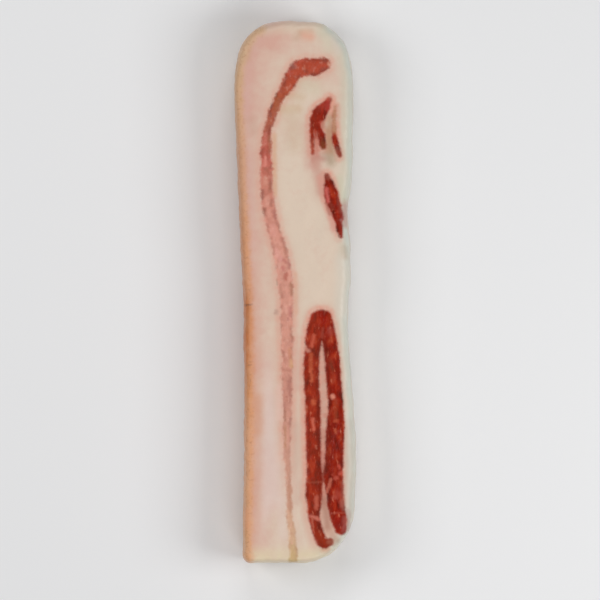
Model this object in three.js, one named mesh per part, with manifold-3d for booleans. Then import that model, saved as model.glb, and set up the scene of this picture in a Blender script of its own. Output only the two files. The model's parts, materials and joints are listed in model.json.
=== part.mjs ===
// Pancetta: a thick piece cut across a cured pork belly, lying on one of its two cut faces.
// Millimetres, +Z up. The origin is on the resting face, under the middle of the piece.
// X runs from the rind side (-X) to the inner side of the belly (+X), and Y from the trimmed end (-Y)
// to the rounded end (+Y). Fat makes the body, and each muscle is a lean solid that runs through it
// from one cut face to the other.
import * as THREE from "three";
import { mergeVertices } from "three/addons/utils/BufferGeometryUtils.js";
import Module from "manifold-3d";

// Driving dimensions
const LENGTH = 250; // over both ends, along Y
const HEIGHT = 27; // from cut face to cut face
const GAP = 0.3; // between two solids that touch
const LEAN_SINK = 0.45; // the lean has dried more than the fat, so it lies this far under both cut faces
const SWELL = 0.7; // how far the upper cut face rises and falls
const BULGE = 1.1; // how far the walls belly out at mid height
const DRIFT_ACROSS = 2.2; // how far a muscle moves along X from the upper face to the lower one
const DRIFT_ALONG = -2.5; // the same along Y
const DRIFT_MARGIN = 14; // a muscle nearer than this to the outside drifts less

// Radius of the edge between a cut face and each wall
const EDGE_RADIUS = { rind: 2.4, inner: 3.6, rounded: 3.2, trimmed: 1.8 };

// Half outline of each long side, as [y, x]
const RIND_SIDE = [
  [-121, -23.9], [-70, -23.3], [-13, -23.4], [10, -24.3], [36, -25.5], [66, -26.9], [88, -27.8],
];
const INNER_SIDE = [
  [-98, 27.7], [-80, 28.4], [-59, 27.6], [-38, 26.1], [-14, 24.6], [8, 25.8], [24, 25.3], [38, 24.6],
  [52, 26.5], [70, 26.6], [88, 27.2],
];
const ROUNDED_END = { from: 88, middle: 1.5, rindPower: 3.1, innerPower: 2.7 };
const TRIMMED_CORNER = { middle: 3, from: -98, power: 2.05 }; // towards the inner side
const RIND_CORNER = { radius: 4, power: 2.3 };

// Divisions of the solids
const ROWS = 44;
const COLUMNS = 8;
const CORNER_CROWDING = 0.6; // 0 spaces the outline's points evenly, 1 crowds them into its corners
const EDGE_STEPS = 3;
const CORNER_STEPS = 8; // before the outline's points are spaced again
const SIDE_STEPS = 48; // the same on a long side
const STRIP_STEP = 4.6; // along a muscle's outline
const FEWEST_STRIP_STEPS = 9;
const OVERSHOOT = 3; // how far a muscle's cutter stands out of both faces

// Each muscle as strips, given as [x, y, width] along the middle of the strip on the upper face
const STREAK = [
  [13.2, 104.5, 6.6], [9.4, 103.4, 7.9], [4.8, 103.3, 8], [0.5, 101.4, 7.4], [-2.7, 96, 6],
  [-6.6, 90, 4.7], [-8.8, 85.3, 4.1], [-10.6, 80.3, 3.7], [-12.5, 74.5, 3.6], [-13.1, 65, 4.8],
  [-12.9, 56, 5.2], [-12.9, 47.5, 5.4], [-12, 39, 5.6], [-9.9, 29.5, 6.3], [-7.3, 20.8, 6], [-5.6, 13, 7],
  [-4.4, 5.5, 7], [-3.6, -4, 6.1], [-3.7, -15, 5.5], [-3.4, -25, 5.2], [-3.5, -37, 4.9], [-3.5, -52, 4.2],
  [-3.6, -70, 3.2], [-2.9, -84, 2.5], [-2.4, -97, 2.6], [-2.1, -105, 2.8], [-1.2, -111.5, 3.2],
  [-0.8, -118, 3.6], [-0.6, -127, 3.7],
];
const LEFT_LEG = [
  [11.2, -12.1, 7.4], [9.9, -16, 8], [8.7, -22.3, 7.6], [7.9, -31.3, 7], [7.8, -44, 6.9], [8.4, -50.2, 7],
  [8.4, -62.3, 7], [8.6, -71, 6.8], [8.9, -80.3, 6.8], [9.2, -83.5, 7.7], [9.3, -86.5, 7.9],
  [8.9, -91.5, 7.8], [9, -96.1, 7.1], [8.8, -100.8, 6], [9.3, -105.4, 5.2], [10.3, -109.1, 5.2],
  [11.7, -113, 5.4], [13.5, -115.6, 5.3], [16, -115.2, 3.6],
];
const RIGHT_LEG = [
  [13.3, -12.1, 7.4], [14.3, -16, 7.6], [16, -22.3, 7], [17.3, -31.3, 6.9], [18.3, -44, 6.8],
  [18.8, -50.2, 6.9], [18.9, -54.6, 7.3], [18.8, -62.3, 8.4], [18.3, -71, 8.6], [17.9, -80.3, 8.7],
  [17.6, -83.5, 9.3], [17.7, -86.5, 9.2], [18.5, -91.5, 8.3], [18.9, -96.1, 8.1], [19.5, -100.8, 7.6],
  [20.5, -105.4, 7.2], [21.2, -109, 5.6],
];
const SEAM = [
  [12.6, -21, 3], [12.9, -31, 6], [13.2, -45, 6], [13.3, -60, 5], [13, -73, 4], [12.9, -80, 3],
  [13, -82.5, 2.4],
];
const UPPER_PATCH = [
  [15.9, 88.3, 2.6], [13.9, 85, 4.8], [11.7, 82.4, 6.6], [10.1, 78.4, 5.4], [11.3, 74.5, 3.2],
  [12.5, 70.8, 3.5], [13, 67.1, 3.1],
];
const UPPER_FINGER = [
  [8.6, 79.5, 3], [8.1, 74.3, 2.1], [8.2, 70.4, 2.1], [8.3, 67, 1.9], [8.3, 63.9, 1.6],
];
const SLIVER = [
  [18.6, 85.1, 1], [18.2, 81.6, 1.5], [18.1, 77, 1.6], [18.3, 72.4, 2.1], [18.6, 69.9, 2.6],
  [19.6, 66.3, 2.6], [20.8, 62.9, 2.1],
];
const LOWER_PATCH = [
  [14.9, 53.3, 2.4], [15.7, 50.6, 3.9], [16.2, 47.4, 5.7], [17.3, 43.1, 6.3], [18.5, 39.3, 5.6],
  [19.8, 35.6, 5.1], [20.5, 31.6, 3.5], [20.9, 27.7, 2.5], [21.3, 25.4, 1.9],
];

const fatMaterial = new THREE.MeshStandardMaterial({ color: "#dcc4b3", roughness: 0.45, metalness: 0 });
const leanMaterial = new THREE.MeshStandardMaterial({ color: "#963523", roughness: 0.5, metalness: 0 });
const paleLeanMaterial = new THREE.MeshStandardMaterial({ color: "#c4786a", roughness: 0.5, metalness: 0 });

const wasm = await Module();
wasm.setup();

// The smooth curve through [y, value] stations, as a function of y.
function smoothThrough(stations) {
  const places = stations.map(([y]) => y);
  const values = stations.map(([, value]) => value);
  const curve = new THREE.CubicInterpolant(places, values, 1);
  return (y) => curve.evaluate(y)[0];
}

const rindX = smoothThrough(RIND_SIDE);
const innerX = smoothThrough(INNER_SIDE);

// Part of a superellipse between two angles, which are given in quarter turns, without its last point.
function superArc([centre, radii, power], start, end, steps) {
  const reach = (value) => Math.sign(value) * Math.abs(value) ** (2 / power);
  return Array.from({ length: steps }, (_, i) => {
    const angle = (THREE.MathUtils.lerp(start, end, i / steps) * Math.PI) / 2;
    const x = centre[0] + radii[0] * reach(Math.cos(angle));
    return new THREE.Vector3(x, centre[1] + radii[1] * reach(Math.sin(angle)), 0);
  });
}

// The points of one long side between two places along Y, without the last.
function sidePoints(side, from, to, steps) {
  return Array.from({ length: steps }, (_, i) => {
    const y = THREE.MathUtils.lerp(from, to, i / steps);
    return new THREE.Vector3(side(y), y, 0);
  });
}

// The outline's points from one corner to the next, crowded towards both corners, without the last.
function crowdedPoints(points, count) {
  const curve = new THREE.CatmullRomCurve3(points, false, "centripetal");
  return Array.from({ length: count }, (_, i) => {
    const share = i / count;
    return curve.getPointAt(share - (CORNER_CROWDING * Math.sin(2 * Math.PI * share)) / (2 * Math.PI));
  });
}

// The outline seen from above, counter-clockwise from the rind's corner at the trimmed end.
function outlineRing() {
  const half = LENGTH / 2;
  const { from, middle, rindPower, innerPower } = ROUNDED_END;
  const { radius, power } = RIND_CORNER;
  const bend = TRIMMED_CORNER;
  const rindEnd = radius - half;
  const rindCorner = [[rindX(rindEnd) + radius, rindEnd], [radius, radius], power];
  const innerReach = innerX(bend.from) - bend.middle;
  const innerCorner = [[bend.middle, bend.from], [innerReach, half + bend.from], bend.power];
  const innerRound = [[middle, from], [innerX(from) - middle, half - from], innerPower];
  const rindRound = [[middle, from], [middle - rindX(from), half - from], rindPower];
  const trimmedEnd = [
    ...superArc(rindCorner, -1.5, -1, CORNER_STEPS),
    ...superArc(innerCorner, -1, -0.5, CORNER_STEPS),
  ];
  const innerSide = [
    ...superArc(innerCorner, -0.5, 0, CORNER_STEPS),
    ...sidePoints(innerX, bend.from, from, SIDE_STEPS),
    ...superArc(innerRound, 0, 0.5, CORNER_STEPS),
  ];
  const roundedEnd = [
    ...superArc(innerRound, 0.5, 1, CORNER_STEPS),
    ...superArc(rindRound, 1, 1.5, CORNER_STEPS),
  ];
  const rindSide = [
    ...superArc(rindRound, 1.5, 2, CORNER_STEPS),
    ...sidePoints(rindX, from, rindEnd, SIDE_STEPS),
    ...superArc(rindCorner, -2, -1.5, CORNER_STEPS),
  ];
  const parts = [trimmedEnd, innerSide, roundedEnd, rindSide];
  return parts.flatMap((points, i) => {
    const last = parts[(i + 1) % parts.length][0];
    return crowdedPoints([...points, last], i % 2 ? ROWS : COLUMNS);
  });
}

// Outward directions at the points of a closed counter-clockwise ring.
function outwardOf(ring) {
  return ring.map((_, i) => {
    const before = ring[(i + ring.length - 1) % ring.length];
    const after = ring[(i + 1) % ring.length];
    return new THREE.Vector2(after.y - before.y, before.x - after.x).normalize();
  });
}

function edgeRadius(outward) {
  const across = outward.x > 0 ? EDGE_RADIUS.inner : EDGE_RADIUS.rind;
  const along = outward.y > 0 ? EDGE_RADIUS.rounded : EDGE_RADIUS.trimmed;
  return across * outward.x ** 2 + along * outward.y ** 2;
}

// The wall's levels from the lower face to the upper one as [height, inset], for an edge of this radius.
function wallProfile(radius) {
  const lower = [];
  for (let i = 0; i <= EDGE_STEPS; i++) {
    const angle = ((i / EDGE_STEPS) * Math.PI) / 2;
    lower.push([radius * (1 - Math.cos(angle)), radius * (1 - Math.sin(angle))]);
  }
  const upper = lower.map(([z, inset]) => [HEIGHT - z, inset]).reverse();
  return [...lower, [HEIGHT / 2, 0], ...upper].map(([z, inset]) => {
    const fromMiddle = (2 * z) / HEIGHT - 1;
    return [z, inset + BULGE * fromMiddle ** 2];
  });
}

// A grid of points that spans a closed ring, as a Coons patch between its four sides.
function spanningGrid(ring) {
  const at = (i) => ring[(i + ring.length) % ring.length];
  const trimmed = (u) => at(u);
  const inner = (v) => at(COLUMNS + v);
  const rounded = (u) => at(2 * COLUMNS + ROWS - u);
  const rind = (v) => at(-v);
  const grid = [];
  for (let v = 0; v <= ROWS; v++) {
    for (let u = 0; u <= COLUMNS; u++) {
      const s = u / COLUMNS;
      const t = v / ROWS;
      const coordinate = (axis) =>
        (1 - t) * trimmed(u)[axis] + t * rounded(u)[axis] + (1 - s) * rind(v)[axis] + s * inner(v)[axis] -
        (1 - s) * (1 - t) * at(0)[axis] - s * (1 - t) * at(COLUMNS)[axis] -
        (1 - s) * t * rind(ROWS)[axis] - s * t * inner(ROWS)[axis];
      grid.push([coordinate("x"), coordinate("y")]);
    }
  }
  return grid;
}

// How much the upper face stands over its nominal height at a place: long low swells.
function swellAt(x, y) {
  return SWELL * (0.6 * Math.sin(y / 23 + x / 31) + 0.4 * Math.sin(y / 11 - x / 9 + 2));
}

// The whole piece as one solid, with both cut faces brought in by `sink`.
function pieceGeometry(sink) {
  const ring = outlineRing();
  const outward = outwardOf(ring);
  const profiles = outward.map((direction) => wallProfile(edgeRadius(direction)));
  const levels = profiles[0].length;
  const positions = [];
  const squeezed = (z) => THREE.MathUtils.clamp(z, sink, HEIGHT - sink);
  for (let level = 0; level < levels; level++) {
    ring.forEach((p, i) => {
      const [z, inset] = profiles[i][level];
      positions.push(p.x - inset * outward[i].x, p.y - inset * outward[i].y, squeezed(z));
    });
  }
  const count = ring.length;
  const triangles = [];
  for (let level = 0; level + 1 < levels; level++) {
    for (let i = 0; i < count; i++) {
      const j = (i + 1) % count;
      const a = level * count + i;
      const b = level * count + j;
      triangles.push(a, b, b + count, a, b + count, a + count);
    }
  }
  for (const [level, z, turned] of [[0, sink, true], [levels - 1, HEIGHT - sink, false]]) {
    const faceRing = ring.map((_, i) => {
      const k = 3 * (level * count + i);
      return new THREE.Vector2(positions[k], positions[k + 1]);
    });
    const start = positions.length / 3;
    spanningGrid(faceRing).forEach(([x, y]) => positions.push(x, y, z));
    for (let v = 0; v < ROWS; v++) {
      for (let u = 0; u < COLUMNS; u++) {
        const a = start + v * (COLUMNS + 1) + u;
        const c = a + COLUMNS + 1;
        const quad = [a, a + 1, c + 1, a, c + 1, c];
        triangles.push(...(turned ? quad.reverse() : quad));
      }
    }
  }
  const geometry = new THREE.BufferGeometry();
  geometry.setAttribute("position", new THREE.Float32BufferAttribute(positions, 3));
  geometry.setIndex(triangles);
  return mergeVertices(swollen(geometry), 1e-4);
}

// Raises each point by the swell, in proportion to its height, so that the resting face stays flat.
function swollen(geometry) {
  const place = geometry.attributes.position;
  for (let i = 0; i < place.count; i++) {
    const share = place.getZ(i) / HEIGHT;
    place.setZ(i, place.getZ(i) + share * swellAt(place.getX(i), place.getY(i)));
  }
  return geometry;
}

// The outline of a strip, grown by `grow` on every side, with round ends.
function stripShape(strip, grow) {
  const curve = new THREE.CatmullRomCurve3(strip.map((station) => new THREE.Vector3(...station)));
  const steps = Math.max(FEWEST_STRIP_STEPS, Math.ceil(curve.getLength() / STRIP_STEP));
  const middle = curve.getSpacedPoints(steps);
  const sides = [[], []];
  middle.forEach((p, i) => {
    const before = middle[Math.max(i - 1, 0)];
    const after = middle[Math.min(i + 1, steps)];
    const along = new THREE.Vector2(after.x - before.x, after.y - before.y).normalize();
    const half = p.z / 2 + grow;
    sides[0].push(new THREE.Vector2(p.x - along.y * half, p.y + along.x * half));
    sides[1].push(new THREE.Vector2(p.x + along.y * half, p.y - along.x * half));
  });
  const roundEnd = (end, neighbour) => {
    const heading = Math.atan2(end.y - neighbour.y, end.x - neighbour.x);
    return [-1, 0, 1].map((turn) => {
      const angle = heading + (turn * Math.PI) / 4;
      const half = end.z / 2 + grow;
      return new THREE.Vector2(end.x + half * Math.cos(angle), end.y + half * Math.sin(angle));
    });
  };
  const start = roundEnd(middle[0], middle[1]);
  const finish = roundEnd(middle[steps], middle[steps - 1]);
  return new THREE.Shape([...start, ...sides[1], ...finish, ...sides[0].reverse()]);
}

// How far a muscle has moved across and along here. Depth is 0 at the upper face and 1 at the lower one.
function driftAt(x, y, depth) {
  const span = THREE.MathUtils.clamp(y, RIND_SIDE[0][0], ROUNDED_END.from);
  const innerRoom = innerX(Math.max(span, TRIMMED_CORNER.from)) - x;
  const room = Math.min(x - rindX(span), innerRoom, LENGTH / 2 - Math.abs(y));
  const share = THREE.MathUtils.smoothstep(room, 0, DRIFT_MARGIN) * depth;
  return [share * DRIFT_ACROSS * Math.cos((y - 20) / 34), share * DRIFT_ALONG];
}

// A strip as a solid through the whole height, drifting on its way down.
function stripGeometry(strip, grow) {
  const depth = HEIGHT + 2 * OVERSHOOT;
  const geometry = new THREE.ExtrudeGeometry(stripShape(strip, grow), { depth, bevelEnabled: false });
  geometry.translate(0, 0, -OVERSHOOT);
  const place = geometry.attributes.position;
  for (let i = 0; i < place.count; i++) {
    const [across, along] = driftAt(place.getX(i), place.getY(i), 1 - place.getZ(i) / HEIGHT);
    place.setXY(i, place.getX(i) + across, place.getY(i) + along);
  }
  geometry.deleteAttribute("normal");
  geometry.deleteAttribute("uv");
  return mergeVertices(geometry, 1e-4);
}

function solidOf(geometry) {
  return new wasm.Manifold(
    new wasm.Mesh({
      numProp: 3,
      vertProperties: geometry.attributes.position.array,
      triVerts: new Uint32Array(geometry.index.array),
    }),
  );
}

// The strips of one muscle joined into one solid.
function joinedStrips(strips, grow) {
  const solids = strips.map((strip) => solidOf(stripGeometry(strip, grow)));
  return solids.reduce((sum, solid) => sum.add(solid));
}

function namedMesh(name, solid, material) {
  const { numProp, vertProperties, triVerts } = solid.getMesh();
  const positions = [];
  for (let i = 0; i < vertProperties.length; i += numProp) {
    positions.push(vertProperties[i], vertProperties[i + 1], vertProperties[i + 2]);
  }
  const geometry = new THREE.BufferGeometry();
  geometry.setAttribute("position", new THREE.Float32BufferAttribute(positions, 3));
  geometry.setIndex(new THREE.BufferAttribute(triVerts, 1));
  geometry.computeVertexNormals();
  const mesh = new THREE.Mesh(geometry, material);
  mesh.name = name;
  return mesh;
}

const MUSCLES = {
  lean_streak: { strips: [STREAK], material: paleLeanMaterial },
  lean_loop: { strips: [LEFT_LEG, RIGHT_LEG], material: leanMaterial },
  lean_patch_upper: { strips: [UPPER_PATCH, UPPER_FINGER], material: leanMaterial },
  lean_sliver: { strips: [SLIVER], material: leanMaterial },
  lean_patch_lower: { strips: [LOWER_PATCH], material: leanMaterial },
};

const pancetta = new THREE.Group();
const wholePiece = solidOf(pieceGeometry(0));
const leanStock = solidOf(pieceGeometry(LEAN_SINK));
let fat = wholePiece;
for (const [name, { strips, material }] of Object.entries(MUSCLES)) {
  pancetta.add(namedMesh(name, leanStock.intersect(joinedStrips(strips, 0)), material));
  fat = fat.subtract(joinedStrips(strips, GAP));
}
// The thin fat between the two legs of the loop touches no other fat.
const seam = solidOf(stripGeometry(SEAM, 0));
const betweenLegs = wholePiece.intersect(seam).subtract(joinedStrips([LEFT_LEG, RIGHT_LEG], GAP));
pancetta.add(namedMesh("fat_seam", betweenLegs, fatMaterial));
pancetta.add(namedMesh("fat", fat.subtract(seam), fatMaterial));

export default pancetta;
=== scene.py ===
import json
import math

import bpy
import numpy as np
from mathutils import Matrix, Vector
from mathutils.geometry import delaunay_2d_cdt
from mathutils.kdtree import KDTree

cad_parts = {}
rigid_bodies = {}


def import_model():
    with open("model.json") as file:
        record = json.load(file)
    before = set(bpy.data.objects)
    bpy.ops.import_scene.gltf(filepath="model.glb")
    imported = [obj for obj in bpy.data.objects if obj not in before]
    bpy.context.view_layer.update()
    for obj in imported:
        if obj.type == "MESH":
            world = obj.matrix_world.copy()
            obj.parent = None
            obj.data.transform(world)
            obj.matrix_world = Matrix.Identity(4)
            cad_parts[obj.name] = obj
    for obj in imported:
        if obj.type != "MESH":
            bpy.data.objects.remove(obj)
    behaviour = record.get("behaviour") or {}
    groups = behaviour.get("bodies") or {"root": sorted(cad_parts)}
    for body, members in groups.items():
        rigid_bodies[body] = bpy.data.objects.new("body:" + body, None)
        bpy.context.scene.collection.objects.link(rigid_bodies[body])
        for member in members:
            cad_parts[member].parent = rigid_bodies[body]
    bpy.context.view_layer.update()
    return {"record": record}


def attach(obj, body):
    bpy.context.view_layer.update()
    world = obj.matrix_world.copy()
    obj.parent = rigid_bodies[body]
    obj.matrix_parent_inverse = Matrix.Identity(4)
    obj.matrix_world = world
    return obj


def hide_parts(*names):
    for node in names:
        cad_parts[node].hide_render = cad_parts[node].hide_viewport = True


for leftover in list(bpy.data.objects):
    bpy.data.objects.remove(leftover)
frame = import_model()

MM = 0.001

# The slice, as the part's source has it
LENGTH = 250.0
HEIGHT = 27.0
LEAN_SINK = 0.45  # how far the lean lies under both cut faces
SWELL = 0.7
SWELL_WAVES = [(0.6, 23, 31, 0), (0.4, 11, -9, 2)]  # share, run of a radian along and across, start
BULGE = 1.1
DRIFT_ACROSS = 2.2
DRIFT_CREST = 20.0  # the y at which the muscles drift furthest across
DRIFT_WAVE = 34.0
DRIFT_ALONG = -2.5
DRIFT_MARGIN = 14.0
EDGE_RADIUS = {"rind": 2.4, "inner": 3.6, "rounded": 3.2, "trimmed": 1.8}
RIND_SIDE = [
    (-121, -23.9), (-70, -23.3), (-13, -23.4), (10, -24.3), (36, -25.5), (66, -26.9), (88, -27.8),
]
INNER_SIDE = [
    (-98, 27.7), (-80, 28.4), (-59, 27.6), (-38, 26.1), (-14, 24.6), (8, 25.8), (24, 25.3), (38, 24.6),
    (52, 26.5), (70, 26.6), (88, 27.2),
]
ROUNDED_FROM = 88.0
ROUNDED_MIDDLE = 1.5
ROUNDED_RIND_POWER = 3.1
ROUNDED_INNER_POWER = 2.7
TRIMMED_FROM = -98.0
TRIMMED_MIDDLE = 3.0
TRIMMED_POWER = 2.05
RIND_CORNER_RADIUS = 4.0
RIND_CORNER_POWER = 2.3

# Each muscle as strips of (x, y, width) along the middle of the strip on the upper face
STREAK = [
    (13.2, 104.5, 6.6), (9.4, 103.4, 7.9), (4.8, 103.3, 8), (0.5, 101.4, 7.4), (-2.7, 96, 6),
    (-6.6, 90, 4.7), (-8.8, 85.3, 4.1), (-10.6, 80.3, 3.7), (-12.5, 74.5, 3.6), (-13.1, 65, 4.8),
    (-12.9, 56, 5.2), (-12.9, 47.5, 5.4), (-12, 39, 5.6), (-9.9, 29.5, 6.3), (-7.3, 20.8, 6),
    (-5.6, 13, 7), (-4.4, 5.5, 7), (-3.6, -4, 6.1), (-3.7, -15, 5.5), (-3.4, -25, 5.2), (-3.5, -37, 4.9),
    (-3.5, -52, 4.2), (-3.6, -70, 3.2), (-2.9, -84, 2.5), (-2.4, -97, 2.6), (-2.1, -105, 2.8),
    (-1.2, -111.5, 3.2), (-0.8, -118, 3.6), (-0.6, -127, 3.7),
]
LEFT_LEG = [
    (11.2, -12.1, 7.4), (9.9, -16, 8), (8.7, -22.3, 7.6), (7.9, -31.3, 7), (7.8, -44, 6.9),
    (8.4, -50.2, 7), (8.4, -62.3, 7), (8.6, -71, 6.8), (8.9, -80.3, 6.8), (9.2, -83.5, 7.7),
    (9.3, -86.5, 7.9), (8.9, -91.5, 7.8), (9, -96.1, 7.1), (8.8, -100.8, 6), (9.3, -105.4, 5.2),
    (10.3, -109.1, 5.2), (11.7, -113, 5.4), (13.5, -115.6, 5.3), (16, -115.2, 3.6),
]
RIGHT_LEG = [
    (13.3, -12.1, 7.4), (14.3, -16, 7.6), (16, -22.3, 7), (17.3, -31.3, 6.9), (18.3, -44, 6.8),
    (18.8, -50.2, 6.9), (18.9, -54.6, 7.3), (18.8, -62.3, 8.4), (18.3, -71, 8.6), (17.9, -80.3, 8.7),
    (17.6, -83.5, 9.3), (17.7, -86.5, 9.2), (18.5, -91.5, 8.3), (18.9, -96.1, 8.1), (19.5, -100.8, 7.6),
    (20.5, -105.4, 7.2), (21.2, -109, 5.6),
]
SEAM = [
    (12.6, -21, 3), (12.9, -31, 6), (13.2, -45, 6), (13.3, -60, 5), (13, -73, 4), (12.9, -80, 3),
    (13, -82.5, 2.4),
]
UPPER_PATCH = [
    (15.9, 88.3, 2.6), (13.9, 85, 4.8), (11.7, 82.4, 6.6), (10.1, 78.4, 5.4), (11.3, 74.5, 3.2),
    (12.5, 70.8, 3.5), (13, 67.1, 3.1),
]
UPPER_FINGER = [(8.6, 79.5, 3), (8.1, 74.3, 2.1), (8.2, 70.4, 2.1), (8.3, 67, 1.9), (8.3, 63.9, 1.6)]
SLIVER = [
    (18.6, 85.1, 1), (18.2, 81.6, 1.5), (18.1, 77, 1.6), (18.3, 72.4, 2.1), (18.6, 69.9, 2.6),
    (19.6, 66.3, 2.6), (20.8, 62.9, 2.1),
]
LOWER_PATCH = [
    (14.9, 53.3, 2.4), (15.7, 50.6, 3.9), (16.2, 47.4, 5.7), (17.3, 43.1, 6.3), (18.5, 39.3, 5.6),
    (19.8, 35.6, 5.1), (20.5, 31.6, 3.5), (20.9, 27.7, 2.5), (21.3, 25.4, 1.9),
]

# The region of each strip, the strip, and how far its outline wavers
STRIPS = [
    ("lean_streak", STREAK, 0.3), ("lean_loop", LEFT_LEG, 0.16), ("lean_loop", RIGHT_LEG, 0.16),
    ("lean_patch_upper", UPPER_PATCH, 0.28), ("lean_patch_upper", UPPER_FINGER, 0.2),
    ("lean_sliver", SLIVER, 0.15), ("lean_patch_lower", LOWER_PATCH, 0.2), ("fat_seam", SEAM, 0.1),
]

# Fineness of the meshes
PATH_SAMPLES = 30
ARC_SAMPLES = 60
SIDE_SAMPLES = 400
EDGE_SAMPLES = 61
RING_STEP = 0.7
STRIP_STEP = 0.6
FACE_STEP = 0.62
CLEAR_OF_LINES = 0.4  # an inner point of a cut face keeps this far from every line's points
MEET_WITHIN = 0.05  # points and lines that lie closer than this meet in one point
ROWS_REACH = 30.0  # rows of inner points run this far to either side, and are then cut to the outline
ROWS_JITTER = 0.07
EDGE_TURNS = (0.12, 0.27, 0.43, 0.6, 0.8, 1)  # shares of a rounded edge's quarter turn, from the wall up
SHORT_MUSCLE_LIMIT = 2  # the edge line, counted from the wall, that only the long muscle passes
WALL_STEP = 0.9

# Blends, each from one distance to another
SINK_PAST_EDGE = (-1.5, 1.5)  # the lean sinks in over this stretch past the rounded edge
SINK_IN_LEAN = (-0.5, 0.9)  # and over this depth within a muscle
LEAN_RELIEF_DEPTH = (-0.4, 0.6)
RIND_RELIEF_DEPTH = (1.5, 3.5)

# The rind's depth is measured from a line that ends this far past the trimmed end
RIND_PAST_END = 12.0

# Seeds of what is random in the meshes
SEEDS = {"rows": 5, "outline": 11, "waver": 20, "relief": 40}

# Unevenness, each as a wavelength and a size, after the part that has it where there are several
OUTLINE_BUMPS = [(14, 0.13), (5, 0.05)]
WAVER_BUMPS = [(5.5, 0.8), (2.3, 0.4)]  # as shares of how far each strip wavers
RELIEF = [
    ("whole", 12, 0.14), ("whole", 5, 0.05), ("lean", 3, 0.08), ("lean", 1.7, 0.05), ("rind", 4, 0.05),
    ("rind", 2.1, 0.03),
]


def smooth_through(stations):
    """The smooth curve through (y, value) stations, as a function of y."""
    places, values = np.array(stations, float).T
    secants = np.diff(values) / np.diff(places)
    slopes = np.concatenate([secants[:1], (secants[:-1] + secants[1:]) / 2, secants[-1:]])

    def at(y):
        i = np.clip(np.searchsorted(places, y) - 1, 0, len(places) - 2)
        step = places[i + 1] - places[i]
        t = (y - places[i]) / step
        start = values[i] * (1 + 2 * t) + slopes[i] * step * t
        end = values[i + 1] * (3 - 2 * t) + slopes[i + 1] * step * (t - 1)
        return start * (1 - t) ** 2 + end * t**2

    return at


rind_x = smooth_through(RIND_SIDE)
inner_x = smooth_through(INNER_SIDE)


def spaced(points, step):
    """The points of a line, spaced evenly again at about this step, with both ends kept."""
    lengths = np.linalg.norm(np.diff(points[:, :2], axis=0), axis=1)
    travelled = np.concatenate([[0], np.cumsum(lengths)])
    wanted = np.linspace(0, travelled[-1], max(2, round(travelled[-1] / step) + 1))
    return np.column_stack([np.interp(wanted, travelled, column) for column in points.T])


def smooth_path(stations, step):
    """Evenly spaced points on the smooth curve through the stations."""
    points = np.array(stations, float)
    points = np.vstack([2 * points[0] - points[1], points, 2 * points[-1] - points[-2]])
    gaps = np.sqrt(np.linalg.norm(np.diff(points, axis=0), axis=1))[:, None]
    before, start, end, after = points[:-3], points[1:-2], points[2:-1], points[3:]
    first, middle, last = gaps[:-2], gaps[1:-1], gaps[2:]
    leave = ((start - before) / first - (end - before) / (first + middle) + (end - start) / middle) * middle
    arrive = ((end - start) / middle - (after - start) / (middle + last) + (after - end) / last) * middle
    shares = np.linspace(0, 1, PATH_SAMPLES, endpoint=False)[:, None, None]
    curve = (
        start * (1 + 2 * shares) * (1 - shares) ** 2 + end * (3 - 2 * shares) * shares**2
        + leave * shares * (1 - shares) ** 2 + arrive * (shares - 1) * shares**2
    )
    return spaced(np.vstack([curve.swapaxes(0, 1).reshape(-1, points.shape[1]), points[-2]]), step)


def ripple(points, wavelength, seed, waves=14):
    """A smooth random field over the points, mostly within -1 to 1, with bumps about a wavelength apart."""
    rng = np.random.default_rng(seed)
    directions = rng.normal(size=(waves, points.shape[1]))
    directions *= 2 * math.pi / wavelength / np.linalg.norm(directions, axis=1, keepdims=True)
    phases = rng.uniform(0, 2 * math.pi, waves)
    return np.sin(points @ directions.T + phases).sum(axis=1) / math.sqrt(waves)


def bumps(points, sizes, seed):
    """Ripples of several wavelengths and sizes, added up."""
    return sum(size * ripple(points, wavelength, seed + i) for i, (wavelength, size) in enumerate(sizes))


def smoothstep(value, low, high):
    share = np.clip((value - low) / (high - low), 0, 1)
    return share * share * (3 - 2 * share)


def super_arc(centre, radii, power, start, end):
    """Part of a superellipse between two angles, which are given in quarter turns."""
    angles = np.linspace(start, end, ARC_SAMPLES) * math.pi / 2
    reach = [np.sign(v) * np.abs(v) ** (2 / power) for v in (np.cos(angles), np.sin(angles))]
    return np.column_stack([centre[0] + radii[0] * reach[0], centre[1] + radii[1] * reach[1]])


def side_points(side, start, end):
    y = np.linspace(start, end, SIDE_SAMPLES)
    return np.column_stack([side(y), y])


def smooth_outline():
    """The slice's outline at mid height, counter-clockwise from the rind's corner at the trimmed end."""
    half = LENGTH / 2
    rind_end = RIND_CORNER_RADIUS - half
    corner_centre = (rind_x(rind_end) + RIND_CORNER_RADIUS, rind_end)
    inner_reach = inner_x(TRIMMED_FROM) - TRIMMED_MIDDLE
    round_rind = (ROUNDED_MIDDLE - rind_x(ROUNDED_FROM), half - ROUNDED_FROM)
    round_inner = (inner_x(ROUNDED_FROM) - ROUNDED_MIDDLE, half - ROUNDED_FROM)
    rounded_centre = (ROUNDED_MIDDLE, ROUNDED_FROM)
    parts = [
        super_arc(corner_centre, (RIND_CORNER_RADIUS,) * 2, RIND_CORNER_POWER, -2, -1),
        super_arc((TRIMMED_MIDDLE, TRIMMED_FROM), (inner_reach, half + TRIMMED_FROM), TRIMMED_POWER, -1, 0),
        side_points(inner_x, TRIMMED_FROM, ROUNDED_FROM),
        super_arc(rounded_centre, round_inner, ROUNDED_INNER_POWER, 0, 1),
        super_arc(rounded_centre, round_rind, ROUNDED_RIND_POWER, 1, 2),
        side_points(rind_x, ROUNDED_FROM, rind_end),
    ]
    return spaced(np.vstack(parts), RING_STEP)[:-1]


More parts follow.
